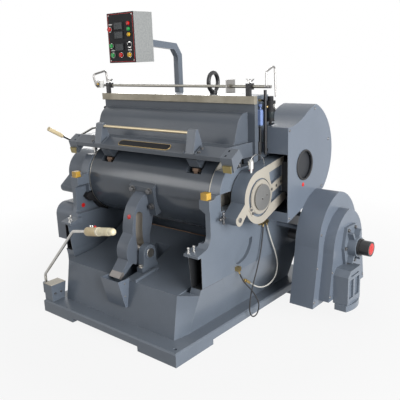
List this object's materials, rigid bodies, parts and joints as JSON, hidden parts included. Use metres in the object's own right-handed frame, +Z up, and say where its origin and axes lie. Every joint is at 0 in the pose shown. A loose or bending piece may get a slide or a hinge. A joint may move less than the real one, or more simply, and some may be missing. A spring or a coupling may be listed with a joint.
{
  "type": "platen die-cutting press",
  "caption": "Heavy platen creasing and die-cutting press: rolling platen on guideways, slotted guide arm, connecting rods, crank, gears, flywheel, motor and a control box on a post.",
  "frame": {"origin": "middle of the anchor-hole pattern at floor level", "axes": "+Z up, +Y from the front (operator's side) to the back, +X to the flywheel side"},
  "size_m": [2.052, 1.5, 1.922],
  "materials": {
    "frame_paint": "semi-gloss dark blue-grey paint",
    "platen_paint": "semi-gloss dark blue-grey paint",
    "cover_paint": "smooth blue-grey sheet paint",
    "machined_steel": "ground, lightly oiled",
    "bright_steel": "polished",
    "dark_steel": "dark oiled steel",
    "rod_cast": "machined faces, painted edges",
    "stop_pad": "amber polyurethane",
    "brass": "satin",
    "black_plastic": "matte",
    "silver_box": "hammered silver paint",
    "blue_plastic": "gloss",
    "red_plastic": "gloss",
    "green_plastic": "gloss",
    "yellow_plastic": "gloss",
    "belt_rubber": "matte",
    "cable_rubber": "matte",
    "hose_plastic": "translucent white"
  },
  "bodies": {
    "frame": {"air_hose": "hose_plastic", "air_regulator": "black_plastic", "base_plate": "frame_paint", "bed": "frame_paint", "clutch_cover": "cover_paint", "control_box": "silver_box", "control_panel": "black_plastic", "control_post": "frame_paint", "cord_fittings": "brass", "die_chase": "machined_steel", "drive_belts": "belt_rubber", "flywheel_cover": "cover_paint", "front_body": "frame_paint", "guide_caps": "frame_paint", "left_crank_cover": "cover_paint", "left_side_frame": "frame_paint", "left_side_guard": "cover_paint", "lever_bracket": "frame_paint", "lifting_eye": "dark_steel", "limit_switch": "blue_plastic", "motor": "cover_paint", "outboard_bearing": "frame_paint", "pivot_blocks": "machined_steel", "right_crank_cover": "cover_paint", "right_side_frame": "frame_paint", "signal_cable": "cable_rubber", "stop_pads": "stop_pad", "valve_box": "frame_paint", "waste_chute": "cover_paint"},
    "carriage": {"left_connecting_rod": "rod_cast", "right_connecting_rod": "rod_cast", "slide_blocks": "machined_steel", "eccentric_sleeves": "dark_steel", "oil_cups": "brass"},
    "platen": {"platen_plate": "machined_steel", "platen_drum": "platen_paint", "platen_beam": "platen_paint", "platen_back": "platen_paint", "end_blocks": "platen_paint", "trunnions": "machined_steel", "arm_bracket": "platen_paint", "guide_arm": "platen_paint", "feed_rail": "brass", "top_bar": "bright_steel", "bar_brackets": "dark_steel"},
    "safety_bar": {"safety_bar": "bright_steel"},
    "main_shaft": {"main_shaft": "dark_steel"},
    "layshaft": {"layshaft": "dark_steel"},
    "pinion_shaft": {"pinion_shaft": "dark_steel"},
    "flywheel": {"flywheel": "dark_steel"},
    "motor_pulley": {"motor_pulley": "dark_steel"},
    "clutch_lever": {"clutch_lever": "bright_steel"},
    "hand_lever": {"hand_lever": "bright_steel"},
    "stop_button": {"stop_button": "red_plastic"},
    "start_button": {"start_button": "green_plastic"},
    "inch_button": {"inch_button": "green_plastic"},
    "reset_button": {"reset_button": "red_plastic"},
    "count_button": {"count_button": "yellow_plastic"},
    "selector_knob": {"selector_knob": "black_plastic"}
  },
  "joints": [
    {"name": "carriage_travel", "type": "slide", "parent": "frame", "child": "carriage", "axis": [0, -1, 0], "range_m": [0, 0.1886]},
    {"name": "platen_tilt", "type": "hinge", "parent": "carriage", "child": "platen", "pos_m": [0, -0.095, 0.825], "axis": [1, 0, 0], "range_deg": [0, 40]},
    {"name": "safety_bar_tilt", "type": "hinge", "parent": "platen", "child": "safety_bar", "pos_m": [0, -0.032, 1.442], "axis": [1, 0, 0], "range_deg": [-10, 10], "stiffness_Nm_per_rad": 30},
    {"name": "main_shaft_turn", "type": "hinge", "parent": "frame", "child": "main_shaft", "pos_m": [0, 0.3, 0.96], "axis": [1, 0, 0], "range_deg": [0, 180.1]},
    {"name": "layshaft_turn", "type": "hinge", "parent": "frame", "child": "layshaft", "pos_m": [0, 0.31058, 0.65518], "axis": [1, 0, 0], "range_deg": [-665.12, 0]},
    {"name": "pinion_shaft_turn", "type": "hinge", "parent": "frame", "child": "pinion_shaft", "pos_m": [0.76, 0.41, 0.45], "axis": [1, 0, 0], "range_deg": [0, 2249.97]},
    {"name": "flywheel_spin", "type": "hinge", "parent": "frame", "child": "flywheel", "pos_m": [0.89, 0.41, 0.45], "axis": [1, 0, 0], "continuous": true},
    {"name": "motor_pulley_spin", "type": "hinge", "parent": "frame", "child": "motor_pulley", "pos_m": [0.89, 0.635, 0.195], "axis": [1, 0, 0], "continuous": true},
    {"name": "clutch_lever_swing", "type": "hinge", "parent": "frame", "child": "clutch_lever", "pos_m": [-0.616, -0.706, 0.15], "axis": [1, 0, 0], "range_deg": [0, 14]},
    {"name": "hand_lever_swing", "type": "hinge", "parent": "frame", "child": "hand_lever", "pos_m": [-0.803, 0.18, 1.12], "axis": [-1, 0, 0], "range_deg": [0, 20]},
    {"name": "stop_button_press", "type": "slide", "parent": "frame", "child": "stop_button", "axis": [0, 1, 0], "range_m": [0, 0.005], "stiffness_N_per_m": 400, "springref_m": -0.001},
    {"name": "start_button_press", "type": "slide", "parent": "frame", "child": "start_button", "axis": [0, 1, 0], "range_m": [0, 0.005], "stiffness_N_per_m": 400, "springref_m": -0.001},
    {"name": "inch_button_press", "type": "slide", "parent": "frame", "child": "inch_button", "axis": [0, 1, 0], "range_m": [0, 0.005], "stiffness_N_per_m": 400, "springref_m": -0.001},
    {"name": "reset_button_press", "type": "slide", "parent": "frame", "child": "reset_button", "axis": [0, 1, 0], "range_m": [0, 0.005], "stiffness_N_per_m": 400, "springref_m": -0.001},
    {"name": "count_button_press", "type": "slide", "parent": "frame", "child": "count_button", "axis": [0, 1, 0], "range_m": [0, 0.005], "stiffness_N_per_m": 400, "springref_m": -0.001},
    {"name": "selector_turn", "type": "hinge", "parent": "frame", "child": "selector_knob", "pos_m": [-0.414, 0.012, 1.71], "axis": [0, 1, 0], "range_deg": [-45, 45]}
  ],
  "couplings": [
    {"joint": "carriage_travel", "follows": "platen_tilt", "m_per_rad": 0.27},
    {"joint": "main_shaft_turn", "follows": "platen_tilt", "ratio": 4.5},
    {"joint": "layshaft_turn", "follows": "platen_tilt", "ratio": -16.615},
    {"joint": "pinion_shaft_turn", "follows": "platen_tilt", "ratio": 56.237},
    {"joint": "motor_pulley_spin", "follows": "flywheel_spin", "ratio": 4.0458}
  ]
}
